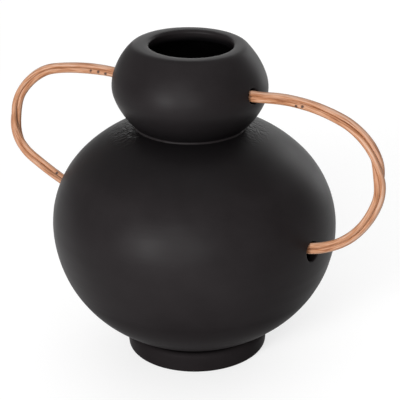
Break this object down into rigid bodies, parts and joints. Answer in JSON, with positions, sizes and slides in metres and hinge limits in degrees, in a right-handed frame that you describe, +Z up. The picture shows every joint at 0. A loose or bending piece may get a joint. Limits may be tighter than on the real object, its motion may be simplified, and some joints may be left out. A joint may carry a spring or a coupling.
{
  "type": "two-handled bulb vase",
  "caption": "Black earthenware vase of a wide belly and a small neck bulb on a foot ring, with a cane handle each side threaded through pierced holes.",
  "frame": {"origin": "on the table under the middle of the foot ring", "axes": "+Z up through the mouth, the two handles stand out along +X and -X, and lean a little to the front, -Y"},
  "size_m": [0.3378, 0.2222, 0.25],
  "materials": {
    "black_slip": "smoked black earthenware with a burnished slip, soft satin",
    "cane": "round rattan cane with its skin taken off, fine lengthwise grain and darker nodes"
  },
  "bodies": {
    "vessel": {"belly": "black_slip", "neck_bulb": "black_slip", "foot_ring": "black_slip", "luting_ring": "black_slip"},
    "right_handle": {"right_cane_1": "cane", "right_cane_2": "cane", "right_cane_3": "cane"},
    "left_handle": {"left_cane_1": "cane", "left_cane_2": "cane", "left_cane_3": "cane"}
  },
  "joints": [
    {"name": "right_handle_swing", "type": "hinge", "parent": "vessel", "child": "right_handle", "pos_m": [0.05552, -0.00496, 0.21781], "axis": [0.4315, -0.0385, -0.9013], "range_deg": [-8, 8]},
    {"name": "left_handle_swing", "type": "hinge", "parent": "vessel", "child": "left_handle", "pos_m": [-0.05563, -0.00497, 0.21779], "axis": [-0.4273, -0.0381, -0.9033], "range_deg": [-8, 8]}
  ]
}
